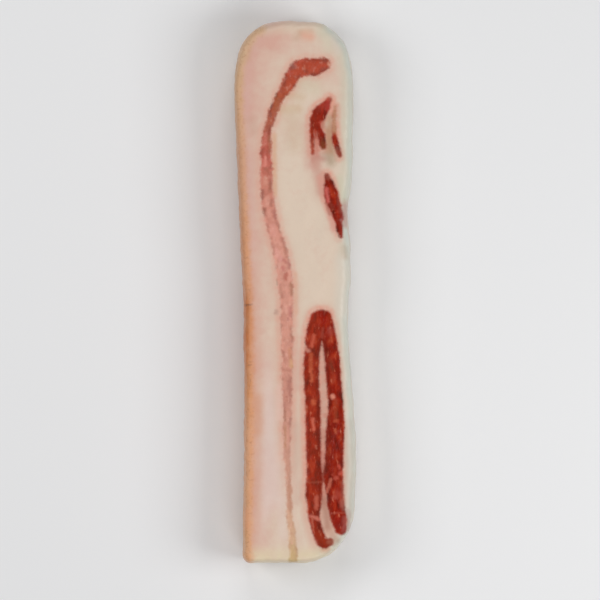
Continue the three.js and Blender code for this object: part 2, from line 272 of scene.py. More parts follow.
def outward_of(ring):
    """Outward directions at the points of a closed counter-clockwise ring."""
    along = np.roll(ring, -2, axis=0) - np.roll(ring, 2, axis=0)
    outward = np.column_stack([along[:, 1], -along[:, 0]])
    return outward / np.linalg.norm(outward, axis=1, keepdims=True)


def edge_radius(outward):
    across = np.where(outward[:, 0] > 0, EDGE_RADIUS["inner"], EDGE_RADIUS["rind"])
    along = np.where(outward[:, 1] > 0, EDGE_RADIUS["rounded"], EDGE_RADIUS["trimmed"])
    return across * outward[:, 0] ** 2 + along * outward[:, 1] ** 2


def bulge_at(z):
    """How far the wall at a height lies within the outline at mid height."""
    return BULGE * (2 * z / HEIGHT - 1) ** 2


def edge_height(inset, radius):
    """How far the rounded edge lies under the cut face, at an inset from the outline at mid height."""
    depths = np.linspace(0, 1, EDGE_SAMPLES)[:, None] * radius
    insets = radius - np.sqrt(radius**2 - (radius - depths) ** 2) + bulge_at(HEIGHT - depths)
    return np.array([np.interp(-i, -column, depth) for i, column, depth in zip(inset, insets.T, depths.T)])


def swell_at(x, y):
    """How much the upper face stands over its nominal height at a place: long low swells."""
    waves = (share * np.sin(y / along + x / across + start) for share, along, across, start in SWELL_WAVES)
    return SWELL * sum(waves)


def strip_outline(strip, waver, seed):
    """The uneven outline of a strip of muscle, with round ends."""
    path = smooth_path(strip, STRIP_STEP)
    along = np.gradient(path[:, :2], axis=0)
    along /= np.linalg.norm(along, axis=1, keepdims=True)
    half = path[:, 2:] / 2
    sideways = half * np.column_stack([-along[:, 1], along[:, 0]])
    left, right = path[:, :2] + sideways, path[:, :2] - sideways

    def round_end(i, turn):
        heading = math.atan2(along[i, 1], along[i, 0]) + turn
        count = max(4, round(math.pi * half[i, 0] / STRIP_STEP))
        angles = heading + np.linspace(-math.pi / 2, math.pi / 2, count + 1)[1:-1]
        return path[i, :2] + half[i] * np.column_stack([np.cos(angles), np.sin(angles)])

    loop = np.vstack([right, round_end(-1, 0), left[::-1], round_end(0, math.pi)])
    return loop + outward_of(loop) * (waver * bumps(loop, WAVER_BUMPS, seed))[:, None]


def inside(points, polygon):
    """Which points lie in a polygon."""
    result = np.zeros(len(points), bool)
    x, y = points.T
    for (ax, ay), (bx, by) in zip(polygon, np.roll(polygon, -1, axis=0)):
        if ay != by:
            crosses = ((ay > y) != (by > y)) & (x < (bx - ax) * (y - ay) / (by - ay) + ax)
            result ^= crosses
    return result


def tree_of(points):
    tree = KDTree(len(points))
    for i, point in enumerate(points):
        tree.insert((point[0], point[1], 0), i)
    tree.balance()
    return tree


def distances(points, tree):
    """How far each point is from the nearest point in the tree, as seen from above."""
    return np.array([tree.find((x, y, 0))[2] for x, y in points[:, :2].tolist()])


def new_object(name, data):
    thing = bpy.data.objects.new(name, data)
    bpy.context.scene.collection.objects.link(thing)
    return thing


class Outline:
    """The slice's uneven outline at mid height, with the way out and the edge's radius at each point."""

    def __init__(self):
        smooth = smooth_outline()
        self.outward = outward_of(smooth)
        self.points = smooth + self.outward * bumps(smooth, OUTLINE_BUMPS, SEEDS["outline"])[:, None]
        self.radius = edge_radius(self.outward)
        self.tree = tree_of(self.points)

    def inset(self, turn):
        """The line round a rounded edge, at a share of its quarter turn from the wall up to the cut face."""
        angle = turn * math.pi / 2
        height = HEIGHT - self.radius * (1 - math.sin(angle))
        inwards = self.radius * (1 - math.cos(angle)) + bulge_at(height)
        return self.points - self.outward * inwards[:, None]

    def nearest(self, points):
        """For each point its distance from the outline, and the place, way out and radius there."""
        found = np.array([self.tree.find((x, y, 0))[1] for x, y in points[:, :2].tolist()])
        best = None
        for other in (-1, 1):
            ends = (found + other) % len(self.points)
            side = self.points[ends] - self.points[found]
            share = ((points[:, :2] - self.points[found]) * side).sum(1) / (side**2).sum(1)
            share = np.clip(share, 0, 1)[:, None]
            mixed = [a[found] + share * (a[ends] - a[found]) for a in (self.points, self.outward)]
            radius = self.radius[found] + share[:, 0] * (self.radius[ends] - self.radius[found])
            away = np.linalg.norm(points[:, :2] - mixed[0], axis=1)
            if best is None:
                best = [away, *mixed, radius]
            else:
                closer = away < best[0]
                for mine, other_side in zip(best, [away, *mixed, radius]):
                    mine[closer] = other_side[closer]
        return best


class Slice:
    """The whole slice as one skin: both cut faces as triangles and the wall between them, in regions."""

    def __init__(self):
        self.outline = Outline()
        self.triangulate()
        self.loop = self.outer_loop()
        self.place_points()

    def triangulate(self):
        """Triangles of the cut face, and the region of each."""
        edge = [self.outline.inset(turn) for turn in (0, *EDGE_TURNS)]
        strips = [
            strip_outline(strip, waver, SEEDS["waver"] + 2 * i)
            for i, (_, strip, waver) in enumerate(STRIPS)
        ]
        lines = [edge[0], *strips, *edge[1:]]
        starts = np.cumsum([0] + [len(line) for line in lines]).tolist()
        polygons = [list(range(a, b)) for a, b in zip(starts, starts[1:])]
        points = np.vstack([*lines, self.inner_points(edge[0], np.vstack(lines))])
        vertices, _, triangles, _, _, sources = delaunay_2d_cdt(
            [Vector(p) for p in points], [], polygons, 1, MEET_WITHIN, True
        )
        kept = [i for i, source in enumerate(sources) if 0 in source]
        used, corners = np.unique([triangles[i] for i in kept], return_inverse=True)
        self.triangles = corners.reshape(-1, 3)
        self.regions = np.array([region_of(sources[i]) for i in kept])
        self.points = np.array(vertices)[used]
        self.owner = {}
        for i, (a, b, c) in enumerate(self.triangles.tolist()):
            self.owner.update({(a, b): i, (b, c): i, (c, a): i})
        self.join_scraps("fat_seam", "fat")
        self.join_scraps("fat", "fat_seam")

    def join_scraps(self, name, neighbour):
        """Leaves a region in one piece: what lies apart from it joins the other fat, or else the lean."""
        left = set(np.flatnonzero(self.regions == name).tolist())
        parts = []
        while left:
            part, border, reached = set(), set(), [left.pop()]
            while reached:
                i = reached.pop()
                part.add(i)
                a, b, c = self.triangles[i].tolist()
                beside = {self.owner[edge] for edge in ((b, a), (c, b), (a, c)) if edge in self.owner}
                border |= {str(self.regions[j]) for j in beside} - {name}
                reached += beside & left
                left -= beside
            parts.append((len(part), part, border))
        for _, part, border in sorted(parts, key=lambda entry: entry[0])[:-1]:
            self.regions[list(part)] = neighbour if neighbour in border else "lean_loop"

    def inner_points(self, limit, lines):
        """Staggered rows of points within the limit, clear of every line."""
        rows = np.arange(-LENGTH / 2, LENGTH / 2, FACE_STEP * math.sqrt(3) / 2)
        across = np.arange(-ROWS_REACH, ROWS_REACH, FACE_STEP)
        points = np.vstack([
            np.column_stack([across + FACE_STEP / 2 * (i % 2), np.full(len(across), y)])
            for i, y in enumerate(rows)
        ])
        points += ROWS_JITTER * np.random.default_rng(SEEDS["rows"]).normal(size=points.shape)
        points = points[inside(points, limit)]
        return points[distances(points, tree_of(lines)) > CLEAR_OF_LINES]

    def outer_loop(self):
        """The points round the outside, counter-clockwise."""
        following = {a: b for a, b in self.owner if (b, a) not in self.owner}
        loop = [min(following)]
        while following[loop[-1]] != loop[0]:
            loop.append(following[loop[-1]])
        return np.array(loop)

    def depth_in_lean(self, names):
        """How far each point lies within these regions, or with a minus sign how far it lies from them."""
        lean = np.isin(self.regions, names)
        ends = np.array([
            (a, b) for (a, b), i in self.owner.items()
            if (b, a) in self.owner and lean[i] and not lean[self.owner[b, a]]
        ])
        a, b = self.points[ends[:, 0]], self.points[ends[:, 1]]
        depth = -distances(self.points, tree_of(np.vstack([a, (a + b) / 2])))
        depth[np.unique(self.triangles[lean])] *= -1
        return depth

    def place_points(self):
        """Every point of the skin in space: the upper face's, the lower face's, then the wall's."""
        away, _, _, radius = self.outline.nearest(self.points)
        streak_depth = self.depth_in_lean(["lean_streak"])
        short_muscles = {name for name, _, _ in STRIPS if name.startswith("lean")} - {"lean_streak"}
        other_depth = self.depth_in_lean(sorted(short_muscles))
        depth = np.maximum(streak_depth, other_depth)
        fall = np.zeros(len(away))
        near = away < radius + BULGE
        fall[near] = edge_height(away[near], radius[near])
        fall[self.loop] = radius[self.loop]
        on_face = smoothstep(away - radius - BULGE, *SINK_PAST_EDGE)
        height = HEIGHT - fall - LEAN_SINK * on_face * smoothstep(depth, *SINK_IN_LEAN)
        drift = smoothstep(away - BULGE, 0, DRIFT_MARGIN)
        x, y = self.points.T
        upper = np.column_stack([x, y, height])
        lower = np.column_stack([
            x + drift * DRIFT_ACROSS * np.cos((y - DRIFT_CREST) / DRIFT_WAVE), y + drift * DRIFT_ALONG,
            HEIGHT - height,
        ])
        wall = self.wall_points()
        self.place = np.vstack([upper, lower, wall])
        self.place[:, 2] *= 1 + swell_at(*self.place[:, :2].T) / HEIGHT
        count = len(self.points)
        self.columns = np.column_stack([
            self.loop + count, 2 * count + np.arange(len(wall)).reshape(len(self.loop), -1), self.loop
        ])
        self.column_of = {int(column[-1]): column.tolist() for column in self.columns}
        origin = np.concatenate([np.arange(count), np.arange(count), np.repeat(self.loop, self.levels)])
        self.depth = depth[origin]
        self.pale = (streak_depth > other_depth)[origin].astype(float)
        self.source = np.column_stack([self.points[origin], self.place[:, 2]])
        self.rind_depth = distances(self.place, tree_of(self.rind_line()))
        inner_line = self.outline.points[self.outline.outward[:, 0] > 0.5]
        self.inner_depth = distances(self.place, tree_of(inner_line))
        self.roughen()

    def wall_points(self):
        """The wall's points between its two rounded edges, column by column."""
        _, place, outward, radius = self.outline.nearest(self.points[self.loop])
        self.levels = round((HEIGHT - 2 * max(EDGE_RADIUS.values())) / WALL_STEP) - 1
        shares = np.arange(1, self.levels + 1) / (self.levels + 1)
        z = radius[:, None] + np.outer(HEIGHT - 2 * radius, shares)
        xy = place[:, None] - outward[:, None] * bulge_at(z)[..., None]
        return np.dstack([xy, z[..., None]]).reshape(-1, 3)

    def rind_line(self):
        """Points along the outline's rind, which runs past the trimmed end and into the rounded end."""
        points, outward = self.outline.points, self.outline.outward
        side = points[(outward[:, 0] < -0.5) & (outward[:, 1] > -0.2)]
        past = np.arange(side[:, 1].min(), side[:, 1].min() - RIND_PAST_END, -RING_STEP)
        return np.vstack([side, np.column_stack([np.full(len(past), RIND_SIDE[0][1]), past])])

    def skin(self):
        """All outer faces, as triangles."""
        low, high = self.columns[:, :-1], self.columns[:, 1:]
        low_next, high_next = np.roll(low, -1, axis=0), np.roll(high, -1, axis=0)
        halves = ((low, low_next, high_next), (low, high_next, high))
        wall = [np.stack(corners, axis=-1).reshape(-1, 3) for corners in halves]
        return np.vstack([self.triangles, self.triangles[:, ::-1] + len(self.points), *wall])

    def roughen(self):
        """Moves each point out or in a little, but none below the plane that the slice rests on."""
        skin = self.skin()
        a, b, c = (self.place[skin[:, i]] for i in range(3))
        face_normals = np.cross(b - a, c - a)
        normals = np.column_stack([
            sum(np.bincount(skin[:, i], face_normals[:, axis], len(self.place)) for i in range(3))
            for axis in range(3)
        ])
        normals /= np.linalg.norm(normals, axis=1, keepdims=True)
        shares = {
            "whole": 1, "lean": smoothstep(self.depth, *LEAN_RELIEF_DEPTH),
            "rind": 1 - smoothstep(self.rind_depth, *RIND_RELIEF_DEPTH),
        }
        relief = sum(
            shares[where] * size * ripple(self.place, wavelength, SEEDS["relief"] + i)
            for i, (where, wavelength, size) in enumerate(RELIEF)
        )
        self.place += normals * relief[:, None]
        self.place[:, 2] = np.maximum(self.place[:, 2], 0)

    def piece(self, name):
        """The closed solid of one region, as a Blender object with its attributes."""
        members = set(np.flatnonzero(self.regions == name).tolist())
        count = len(self.points)
        faces = [self.triangles[i].tolist() for i in members]
        faces += [[c + count, b + count, a + count] for a, b, c in faces]
        seams = set()
        for (a, b), owner in self.owner.items():
            if owner not in members or self.owner.get((b, a)) in members:
                continue
            column_a = self.column_of.get(a, [a + count, a])
            column_b = self.column_of.get(b, [b + count, b])
            if (b, a) in self.owner:
                faces.append(column_b + column_a[::-1])
                seams.update([(a, b), (a + count, b + count)])
                seams.update(zip(column_a, column_a[1:]))
                seams.update(zip(column_b, column_b[1:]))
            else:
                faces += [list(quad) for quad in zip(column_a, column_b, column_b[1:], column_a[1:])]
        used = np.unique(np.concatenate(faces))
        local = {g: i for i, g in enumerate(used.tolist())}
        mesh = bpy.data.meshes.new(name + "_cut")
        mesh.from_pydata(self.place[used] * MM, [], [[local[g] for g in face] for face in faces])
        mesh.polygons.foreach_set("use_smooth", [True] * len(mesh.polygons))
        mark_sharp(mesh, [(local[a], local[b]) for a, b in seams])
        facts = {"depth": self.depth, "pale": self.pale, "rind": self.rind_depth, "inner": self.inner_depth}
        for label, values in facts.items():
            mesh.attributes.new(label, "FLOAT", "POINT").data.foreach_set("value", values[used])
        source = mesh.attributes.new("source", "FLOAT_VECTOR", "POINT")
        source.data.foreach_set("vector", self.source[used].ravel())
        return new_object(mesh.name, mesh)


def region_of(source):
    """The region of a triangle in these polygons: the slice's outline, the strips, then the edge lines."""
    names = [STRIPS[i - 1][0] for i in source if 0 < i <= len(STRIPS)]
    lean = [name for name in names if name.startswith("lean")]
    if lean and lean[0] != "lean_streak" and len(STRIPS) + SHORT_MUSCLE_LIMIT not in source:
        return "fat"
    return (lean or names or ["fat"])[0]


def mark_sharp(mesh, pairs):
    """Keeps the shading of the cut faces apart from that of the walls between two pieces."""
    ends = np.empty(2 * len(mesh.edges), int)
    mesh.edges.foreach_get("vertices", ends)
    ends = np.sort(ends.reshape(-1, 2), axis=1)
    keys = ends[:, 0] * len(mesh.vertices) + ends[:, 1]
    wanted = np.sort(np.array(pairs), axis=1)
    sharp = np.isin(keys, wanted[:, 0] * len(mesh.vertices) + wanted[:, 1])
    mesh.attributes.new("sharp_edge", "BOOLEAN", "EDGE").data.foreach_set("value", sharp)


def linear(code):
    """A colour code as the linear red, green, blue and alpha that Blender's nodes take."""
    parts = [int(code[i:i + 2], 16) / 255 for i in (1, 3, 5)]
    return [p / 12.92 if p <= 0.04045 else ((p + 0.055) / 1.055) ** 2.4 for p in parts] + [1]


def new_material(name):
    """A new material and its surface shader."""
    material = bpy.data.materials.new(name)
    material.use_nodes = True
    return material, material.node_tree.nodes["Principled BSDF"]


class Nodes:
    """A node tree. Each helper adds a node from numbers or other nodes' outputs and returns its output."""

    def __init__(self, tree):
        self.tree = tree

    def add(self, kind, inputs, output=0, **settings):
        node = self.tree.nodes.new("ShaderNode" + kind)
        for setting, value in settings.items():
            setattr(node, setting, value)
        for socket, value in inputs.items():
            if isinstance(value, bpy.types.NodeSocket):
                self.tree.links.new(value, node.inputs[socket])
            elif value is not None:
                node.inputs[socket].default_value = value
        return node.outputs[output]

    def math(self, operation, a, b=None, c=None):
        return self.add("Math", {0: a, 1: b, 2: c}, operation=operation)

    def product(self, *values):
        """Numbers or outputs, multiplied with each other."""
        result = values[0]
        for value in values[1:]:
            result = self.math("MULTIPLY", result, value)
        return result

    def vector(self, operation, a, b=None, scale=None, output=0):
        inputs = {0: a, 1: b}
        if scale is not None:
            inputs["Scale"] = scale
        return self.add("VectorMath", inputs, output, operation=operation)

    def between(self, value, low, high, at_low=0.0, at_high=1.0):
        """A smooth step from one number to another as the value passes from low to high."""
        inputs = {"Value": value, "From Min": low, "From Max": high, "To Min": at_low, "To Max": at_high}
        return self.add("MapRange", inputs, interpolation_type="SMOOTHSTEP")

    def mix(self, share, a, b):
        """Colour a where the share is 0 and colour b where it is 1."""
        a, b = (linear(c) if isinstance(c, str) else c for c in (a, b))
        return self.add("Mix", {0: share, 6: a, 7: b}, 2, data_type="RGBA")


def mark_group():
    """A node group that puts a soft mark on a colour, round a line as seen from above."""
    tree = bpy.data.node_groups.new("mark", "ShaderNodeTree")
    kinds = {"Colour": "Color", "Place": "Vector", "Start": "Vector", "Along": "Vector", "Width": "Float",
             "Strength": "Float", "Mark": "Color"}
    for label, kind in kinds.items():
        tree.interface.new_socket(label, in_out="INPUT", socket_type="NodeSocket" + kind)
    tree.interface.new_socket("Colour", in_out="OUTPUT", socket_type="NodeSocketColor")
    given = tree.nodes.new("NodeGroupInput").outputs
    nodes = Nodes(tree)
    offset = nodes.vector("SUBTRACT", given["Place"], given["Start"])
    along = given["Along"]
    dots = [nodes.vector("DOT_PRODUCT", part, along, output=1) for part in (offset, along)]
    share = nodes.add("Clamp", {"Value": nodes.math("DIVIDE", *dots)})
    nearest = nodes.vector("SCALE", along, scale=share)
    away = nodes.math("DIVIDE", nodes.vector("DISTANCE", offset, nearest, output=1), given["Width"])
    share = nodes.product(nodes.between(away, 0, 0.85, 1, 0), given["Strength"])
    colour = nodes.mix(share, given["Colour"], given["Mark"])
    tree.links.new(colour, tree.nodes.new("NodeGroupOutput").inputs["Colour"])
    return tree


NOISE_SHIFT = (7.3, 3.1, 5.7)  # each further seed takes the noise from this far on
NOISE_ROUGHNESS = 0.55


class Look(Nodes):
    """One material."""

    def __init__(self, name, mark):
        self.material, self.surface = new_material(name)
        super().__init__(self.material.node_tree)
        self.mark = mark
        place = self.tree.nodes.new("ShaderNodeTexCoord").outputs["Object"]
        self.place = self.vector("SCALE", place, scale=1 / MM)
        self.source = self.read("source", "Vector")
        self.x, self.y, self.height = (
            self.add("SeparateXYZ", {"Vector": self.source}, axis) for axis in range(3)
        )
        self.depth, self.pale, self.rind, self.inner = map(self.read, ("depth", "pale", "rind", "inner"))
        self.uneven_source = self.shifted_source()

    def read(self, label, output="Fac"):
        return self.add("Attribute", {}, output, attribute_name=label)

    def shifted_source(self):
        """The place within the slice as seen from above, shifted a little this way and that."""
        place = self.vector("MULTIPLY", self.source, (1, 1, 0))
        for size, reach in ((2.2, 1.3), (0.8, 0.7)):
            noise = self.add("TexNoise", {"Vector": self.source, "Scale": 1 / size}, "Color")
            shift = self.vector("SUBTRACT", noise, (0.5, 0.5, 0.5))
            place = self.vector("ADD", place, self.vector("MULTIPLY", shift, (reach, reach, 0)))
        return place

    def noise(self, size, seed=0.0, place=None, stretch=(1, 1, 1), detail=2.0):
        """Noise from about 0 to 1 with features about this many millimetres across."""
        where = self.add("Mapping", {
            "Vector": place or self.place, "Location": [seed * shift for shift in NOISE_SHIFT],
            "Scale": [1 / (size * s) for s in stretch],
        })
        inputs = {"Vector": where, "Scale": 1.0, "Detail": detail, "Roughness": NOISE_ROUGHNESS}
        return self.add("TexNoise", inputs)

    def ramp(self, value, stops):
        """Colours at places along a value, blended between them."""
        low, high = stops[0][0], stops[-1][0]
        share = self.add("MapRange", {"Value": value, "From Min": low, "From Max": high})
        node = self.tree.nodes.new("ShaderNodeValToRGB")
        elements = node.color_ramp.elements
        while len(elements) < len(stops):
            elements.new(0.5)
        for element, (place, colour) in zip(elements, stops):
            element.position = (place - low) / (high - low)
            element.color = linear(colour)
        self.tree.links.new(share, node.inputs["Fac"])
        return node.outputs["Color"]

    def marked(self, colour, marks):
        """The colour with uneven marks on it, each with two ends, a width, a strength and a colour."""
        for x, y, end_x, end_y, width, strength, mark_colour in marks:
            colour = self.add("Group", {
                "Colour": colour, "Place": self.uneven_source, "Start": (x, y, 0),
                "Along": (end_x - x, end_y - y, 0), "Width": width, "Strength": strength,
                "Mark": linear(mark_colour),
            }, node_tree=self.mark)
        return colour

    def finish(self, colour, roughness, layers, specular):
        """The material with its colour, its roughness and its layers of fine relief."""
        self.tree.links.new(colour, self.surface.inputs["Base Color"])
        self.tree.links.new(roughness, self.surface.inputs["Roughness"])
        self.surface.inputs["Specular IOR Level"].default_value = specular
        normal = None
        for height, depth in layers:
            normal = self.add("Bump", {"Height": height, "Distance": depth * MM, "Normal": normal})
        self.tree.links.new(normal, self.surface.inputs["Normal"])
        return self.material


# Marks on the meat, each as x and y of both its ends, a width, a strength and a colour. Most are the meat's
# own colour; three are painted light or shade, as noted at each.
FAT_MARKS = [
    (0.8, 117, 2.6, 119, 4, 0.3, "#c09272"), (2.8, 119.6, 7.4, 120.4, 3, 0.4, "#c48a6c"),
    (5.2, 118.2, 7, 117.6, 5, 0.7, "#e2a68c"), (-21.5, 114, -22.5, 108, 5, 0.4, "#c69a70"),
    (12.5, 119, 15.5, 112, 6, 0.35, "#cfd0b8"), (18, 117, 20, 111, 4, 0.35, "#dcd0c6"),
    (3, 96, 9, 94, 8, 0.3, "#ccc6a6"), (17.5, 88, 16.4, 80, 2.2, 0.8, "#e3a08a"),
    (16, 80, 16.2, 69, 4.2, 0.75, "#bb9c80"), (19, 85.4, 18.8, 76, 3, 0.35, "#c0937a"),
    (9.5, 76, 9.8, 71, 2.2, 0.95, "#ab4632"), (9.8, 70, 10.4, 63, 2.6, 0.85, "#c87866"),
    (10.4, 62, 9, 58, 4.4, 0.6, "#d2968a"), (5.5, 76, 6.4, 58, 5, 0.4, "#d3a394"),
    (17, 66, 16.6, 60, 5.4, 0.8, "#b39d84"), (9.4, 61.6, 13, 61, 2.8, 0.6, "#ba8072"),
    (13.2, 63.6, 15.2, 61.4, 3.4, 0.5, "#b29480"), (-17.6, -50, -17.6, -64, 6.4, 0.6, "#d49a7c"),
    # The mark from (25.3, -16) to (26.4, -38) is a painted cool reflection on the inner side's rounded edge
    (0.8, -62, 1, -96, 4.5, 0.35, "#c8a090"), (25.3, -16, 26.4, -38, 2.2, 0.6, "#b4bcba"),
    (25.4, -60, 25.4, -102, 4, 0.6, "#c6beb2"), (-6.2, -96, -5.4, -112, 4.5, 0.4, "#e3cec4"),
    (-7.4, -44, -7.2, -58, 3, 0.6, "#e6c4b6"), (23, 41, 23.7, 31, 3.6, 0.7, "#bc8c82"),
    (17.8, -115.4, 19.6, -114, 3, 0.6, "#b09078"), (15.6, 74, 16, 65, 4, 0.55, "#b9805f"),
    (12.6, 80, 13, 76, 2.6, 0.75, "#b46c58"), (21.5, 14, 21.5, -10, 6, 0.5, "#dcd3c6"),
    (-13, 121, 12, 122, 6, 0.5, "#dccdb6"), (8.3, 62.6, 8.4, 60, 2, 0.5, "#c47c6e"),
    (9.8, 60, 12.4, 46, 4.6, 0.6, "#c99584"), (9.4, 62, 11.8, 46, 9, 0.3, "#cd9d8c"),
    (12, 52, 18.2, 29, 3.6, 0.75, "#d99c8c"), (20.6, 52, 22.8, 42, 3.4, 0.5, "#cdccb2"),
    (-9.3, 72, -9.2, 45, 2.4, 0.5, "#d9ab84"), (0.4, 8, 0.6, -10, 2.2, 0.4, "#dba88c"),
    (-8.4, -9, -8.6, -9.6, 2, 0.45, "#a8796c"), (-7.8, 5.4, -7.9, 3.6, 1.2, 0.5, "#a37c68"),
    (22.9, 20.5, 23.2, 16, 3.2, 0.35, "#b09274"), (13.2, -24, 13.2, -70, 3.4, 0.45, "#c09484"),
    (14.4, -57, 15, -57.2, 2.6, 0.6, "#c8806e"), (13, -64, 12.8, -82, 3, 0.45, "#c27c6c"),
    (12.9, -74, 12.8, -82, 2.6, 0.5, "#bf7466"), (13.2, -90.5, 13.8, -97, 3, 0.7, "#c47c6a"),
    (13.2, -96, 15.2, -108, 4.2, 0.75, "#b07c6a"), (15.4, -109, 17.4, -112, 4, 0.5, "#c0907c"),
    (13.6, -118.6, 14.6, -118.4, 3.6, 0.6, "#cd8c6c"), (1.6, -28, 1.2, -44, 4.5, 0.3, "#d0a698"),
    # The mark from (24, -101) to (24.6, -109) is painted shadow along the outline's edge near the trimmed
    # end
    (24, -101, 24.6, -109, 3, 0.55, "#a8827a"), (14.5, 40.6, 16.1, 35.6, 1.7, 0.5, "#9c4c3c"),
    (-5.5, 84, 1.5, 84.5, 5, 0.35, "#cba97e"), (-3, 90.5, 3, 89.5, 4.5, 0.3, "#cba97e"),
    (-20, 79, -19.2, 74, 5, 0.25, "#c08c76"), (-1, 80, 0, 68, 9, 0.3, "#cbb494"),
]
RIND_MARKS = [
    (-24, -6.1, -19.4, -6, 1.1, 0.75, "#8a5230"), (-21.4, -33.8, -19.8, -33.7, 0.8, 0.5, "#9a5f3c"),
    (-22.4, -101, -22, -108, 3.2, 0.5, "#e8a078"), (-21.6, -7, -21.8, -19, 1.4, 0.4, "#b8703c"),
]
DARK_LEAN_MARKS = [
    (8.9, -20.4, 7.8, -25, 2, 0.85, "#c65c45"), (4.9, -25.8, 6.2, -27.2, 2, 0.85, "#cb8472"),
    (7.5, -29, 7.6, -35, 1.9, 0.7, "#c05c3c"), (7.4, -36, 7.9, -41, 1.9, 0.8, "#c45f40"),
    (6.6, -38, 6.8, -39.6, 1.6, 0.6, "#8a2208"), (8.5, -50.2, 8.6, -51.4, 2.2, 0.8, "#c8603f"),
    (4.4, -52, 5.2, -53, 1.6, 0.6, "#c47a66"), (8.4, -58.5, 8.7, -63.4, 1.6, 0.95, "#cc6650"),
    (10, -71, 10, -72, 1.2, 0.6, "#bd6a54"), (6, -87.6, 13, -87.6, 1.1, 0.4, "#a8523e"),
    (10.1, -94.6, 10, -99.4, 2.1, 0.8, "#bf604c"), (7.8, -103.6, 11.4, -104.7, 1.9, 0.9, "#cd7260"),
    (8, -104.4, 8.6, -109.6, 1, 0.7, "#bd6450"), (10.1, -115, 10.3, -116.6, 2, 0.5, "#ad5446"),
    (16.2, -17.6, 16.4, -19, 2.8, 0.5, "#b3564a"), (12.9, -17, 12.8, -21, 1.6, 0.5, "#a84c3c"),
    (17.4, -48.1, 17.8, -48.6, 2.1, 0.95, "#e08d76"), (18.8, -50.5, 18.8, -58, 2.4, 0.5, "#a54628"),
    (18.5, -59.6, 19.4, -59.4, 1.8, 0.8, "#b85036"), (18.7, -63.8, 18.8, -64.8, 1.5, 0.85, "#c25c40"),
    (20.2, -80.2, 20.6, -81, 1.9, 0.85, "#cc5442"), (20.9, -83.6, 21.6, -83.2, 1.9, 0.8, "#cc5848"),
    (18.8, -85.8, 19.4, -85.6, 2.1, 0.85, "#d05e4c"), (17.6, -84, 18.8, -85.6, 1.2, 0.5, "#ba5240"),
    (16.6, -86.6, 14.9, -92, 1.5, 0.85, "#c06652"), (13, -81.5, 13.2, -91, 1.4, 0.55, "#a0584a"),
    (19.6, -92.6, 20.6, -93.4, 3, 0.65, "#b44a3a"), (17.6, -94.8, 19, -94.6, 2.1, 0.7, "#b55040"),
    (21.9, -96.5, 21.9, -98.5, 2.6, 0.55, "#b86658"), (16.8, -102, 23, -101.7, 1, 0.5, "#ad5242"),
    (20, -105.5, 20, -108.5, 4, 0.5, "#9c1e14"), (12.4, -9.6, 13.6, -13.4, 3.6, 0.6, "#9a1a08"),
    (9.8, 82.5, 11.2, 74.5, 4, 0.45, "#92200f"), (8.2, 69.4, 8.3, 63.5, 2.2, 0.45, "#b4604c"),
    (12.6, 70, 13, 66.5, 2, 0.4, "#98442c"), (18.5, 86, 18.2, 74.5, 3.4, 0.97, "#bd8a6c"),
    (19.6, 65.6, 21, 62, 2.6, 0.45, "#9c6252"), (14.4, 54.6, 15.4, 52.4, 2.6, 0.5, "#a05e4e"),
    (20.4, 42, 21, 37, 2, 0.4, "#a05648"), (16.2, 41.5, 17.2, 38.4, 2.2, 0.55, "#983a2a"),
    (16.2, 88.6, 15.4, 84.4, 3, 0.45, "#b04034"), (17.5, -66, 18.6, -86, 5, 0.3, "#7c1c0c"),
    (22.2, -88, 22.6, -100, 2.2, 0.4, "#ac6858"), (22.9, -104, 22.8, -110, 2.4, 0.5, "#a85850"),
    (15.8, -115.4, 17.4, -115, 2.4, 0.6, "#a8705c"), (11.5, -112.5, 14.5, -116, 5, 0.4, "#a83c1c"),
    (12.4, 85.6, 15.6, 85.6, 5, 0.4, "#b84a3c"), (14.6, 90, 16.6, 89.4, 3, 0.5, "#c08870"),
    (16.6, -31, 18, -41, 2.4, 0.35, "#b04a30"), (13.4, 67.6, 13.2, 66, 3.4, 0.6, "#7d4426"),
    # The mark from (14.6, 47.4) to (15.4, 41.6) is a painted highlight on the lower patch of lean
    (15.4, 88.4, 15.6, 84.4, 2.4, 0.5, "#b03830"), (14.6, 47.4, 15.4, 41.6, 1.9, 0.95, "#ca625a"),
    (13.2, 49, 13.7, 44.6, 1.2, 0.5, "#b25044"), (21.4, 33, 21.8, 32.4, 1.7, 0.4, "#b8807a"),
    (21.8, 37.4, 22.4, 34, 1.8, 0.5, "#8f4440"), (11.8, 78, 13.6, 74.4, 1.4, 0.5, "#c8584a"),
]
